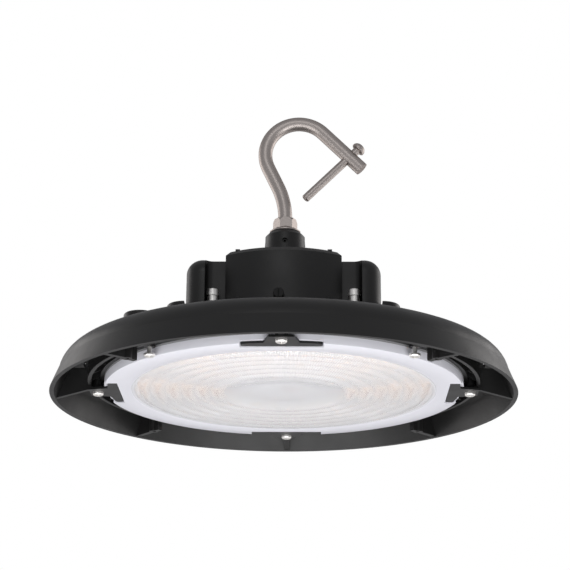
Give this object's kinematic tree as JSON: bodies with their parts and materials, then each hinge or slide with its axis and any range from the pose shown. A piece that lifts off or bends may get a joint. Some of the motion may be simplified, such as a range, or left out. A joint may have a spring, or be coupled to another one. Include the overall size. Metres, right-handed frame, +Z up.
{
  "type": "high bay light",
  "caption": "Round suspended high bay light: finned cast housing with skirt, ridged lens over LED rings, driver box on top, hanging hook with a gate screw.",
  "frame": {"origin": "centre of the skirt's lower edge, on the plane that the light rests on", "axes": "+Z up through the hook's shank, the hook's bow in the XZ plane with its arm towards +X, front panel towards -Y, cable gland towards +Y"},
  "size_m": [0.32, 0.32, 0.2113],
  "materials": {
    "powder_coat": "satin black powder coat",
    "lens_plastic": "frosted clear polycarbonate",
    "seal_rubber": "grey silicone rubber",
    "screw_steel": "bright stainless steel",
    "black_steel": "black oxide on steel",
    "hook_steel": "satin stainless steel",
    "white_board": "white solder mask on aluminium",
    "led_phosphor": "yellow phosphor",
    "white_plastic": "white moulded plastic",
    "black_plastic": "black moulded plastic",
    "lead_insulation": "red lead insulation",
    "green_board": "green solder mask",
    "ferrite": "dark ferrite and tape",
    "capacitor_sleeve": "dark sleeve",
    "bare_aluminium": "bare sheet",
    "terminal_plastic": "green moulded plastic"
  },
  "bodies": {
    "fixture": {"board_connector": "white_plastic", "board_leads": "lead_insulation", "board_screws": "screw_steel", "capacitors": "capacitor_sleeve", "clamp_screws": "screw_steel", "cover_screws": "screw_steel", "driver_base": "powder_coat", "driver_cover": "powder_coat", "driver_heat_plate": "bare_aluminium", "driver_pcb": "green_board", "driver_seal": "seal_rubber", "edge_screws": "screw_steel", "front_panel": "powder_coat", "gland_body": "black_plastic", "gland_cap": "black_plastic", "gland_locknut": "black_plastic", "gland_seal": "seal_rubber", "gland_washer": "seal_rubber", "heat_sink_housing": "powder_coat", "hook": "hook_steel", "led_board": "white_board", "led_packages": "led_phosphor", "lens": "lens_plastic", "lens_clamp_back": "powder_coat", "lens_clamp_front": "powder_coat", "lens_clamp_left": "powder_coat", "lens_clamp_right": "powder_coat", "lens_gasket": "seal_rubber", "line_choke": "ferrite", "locking_nut": "hook_steel", "mains_terminal": "terminal_plastic", "mounting_bolts": "screw_steel", "mounting_spacers": "screw_steel", "panel_screws": "black_steel", "panel_seal": "seal_rubber", "pcb_screws": "screw_steel", "power_transistors": "black_plastic", "set_screw": "black_steel", "suppression_capacitor": "black_plastic", "transformer": "ferrite", "vent_plug": "black_plastic", "wire_grommet": "seal_rubber"},
    "gate": {"gate_screw": "hook_steel"}
  },
  "joints": [
    {"name": "gate_slide", "type": "slide", "parent": "fixture", "child": "gate", "axis": [0.7071, 0, 0.7071], "range_m": [-0.0028, 0.038]}
  ]
}
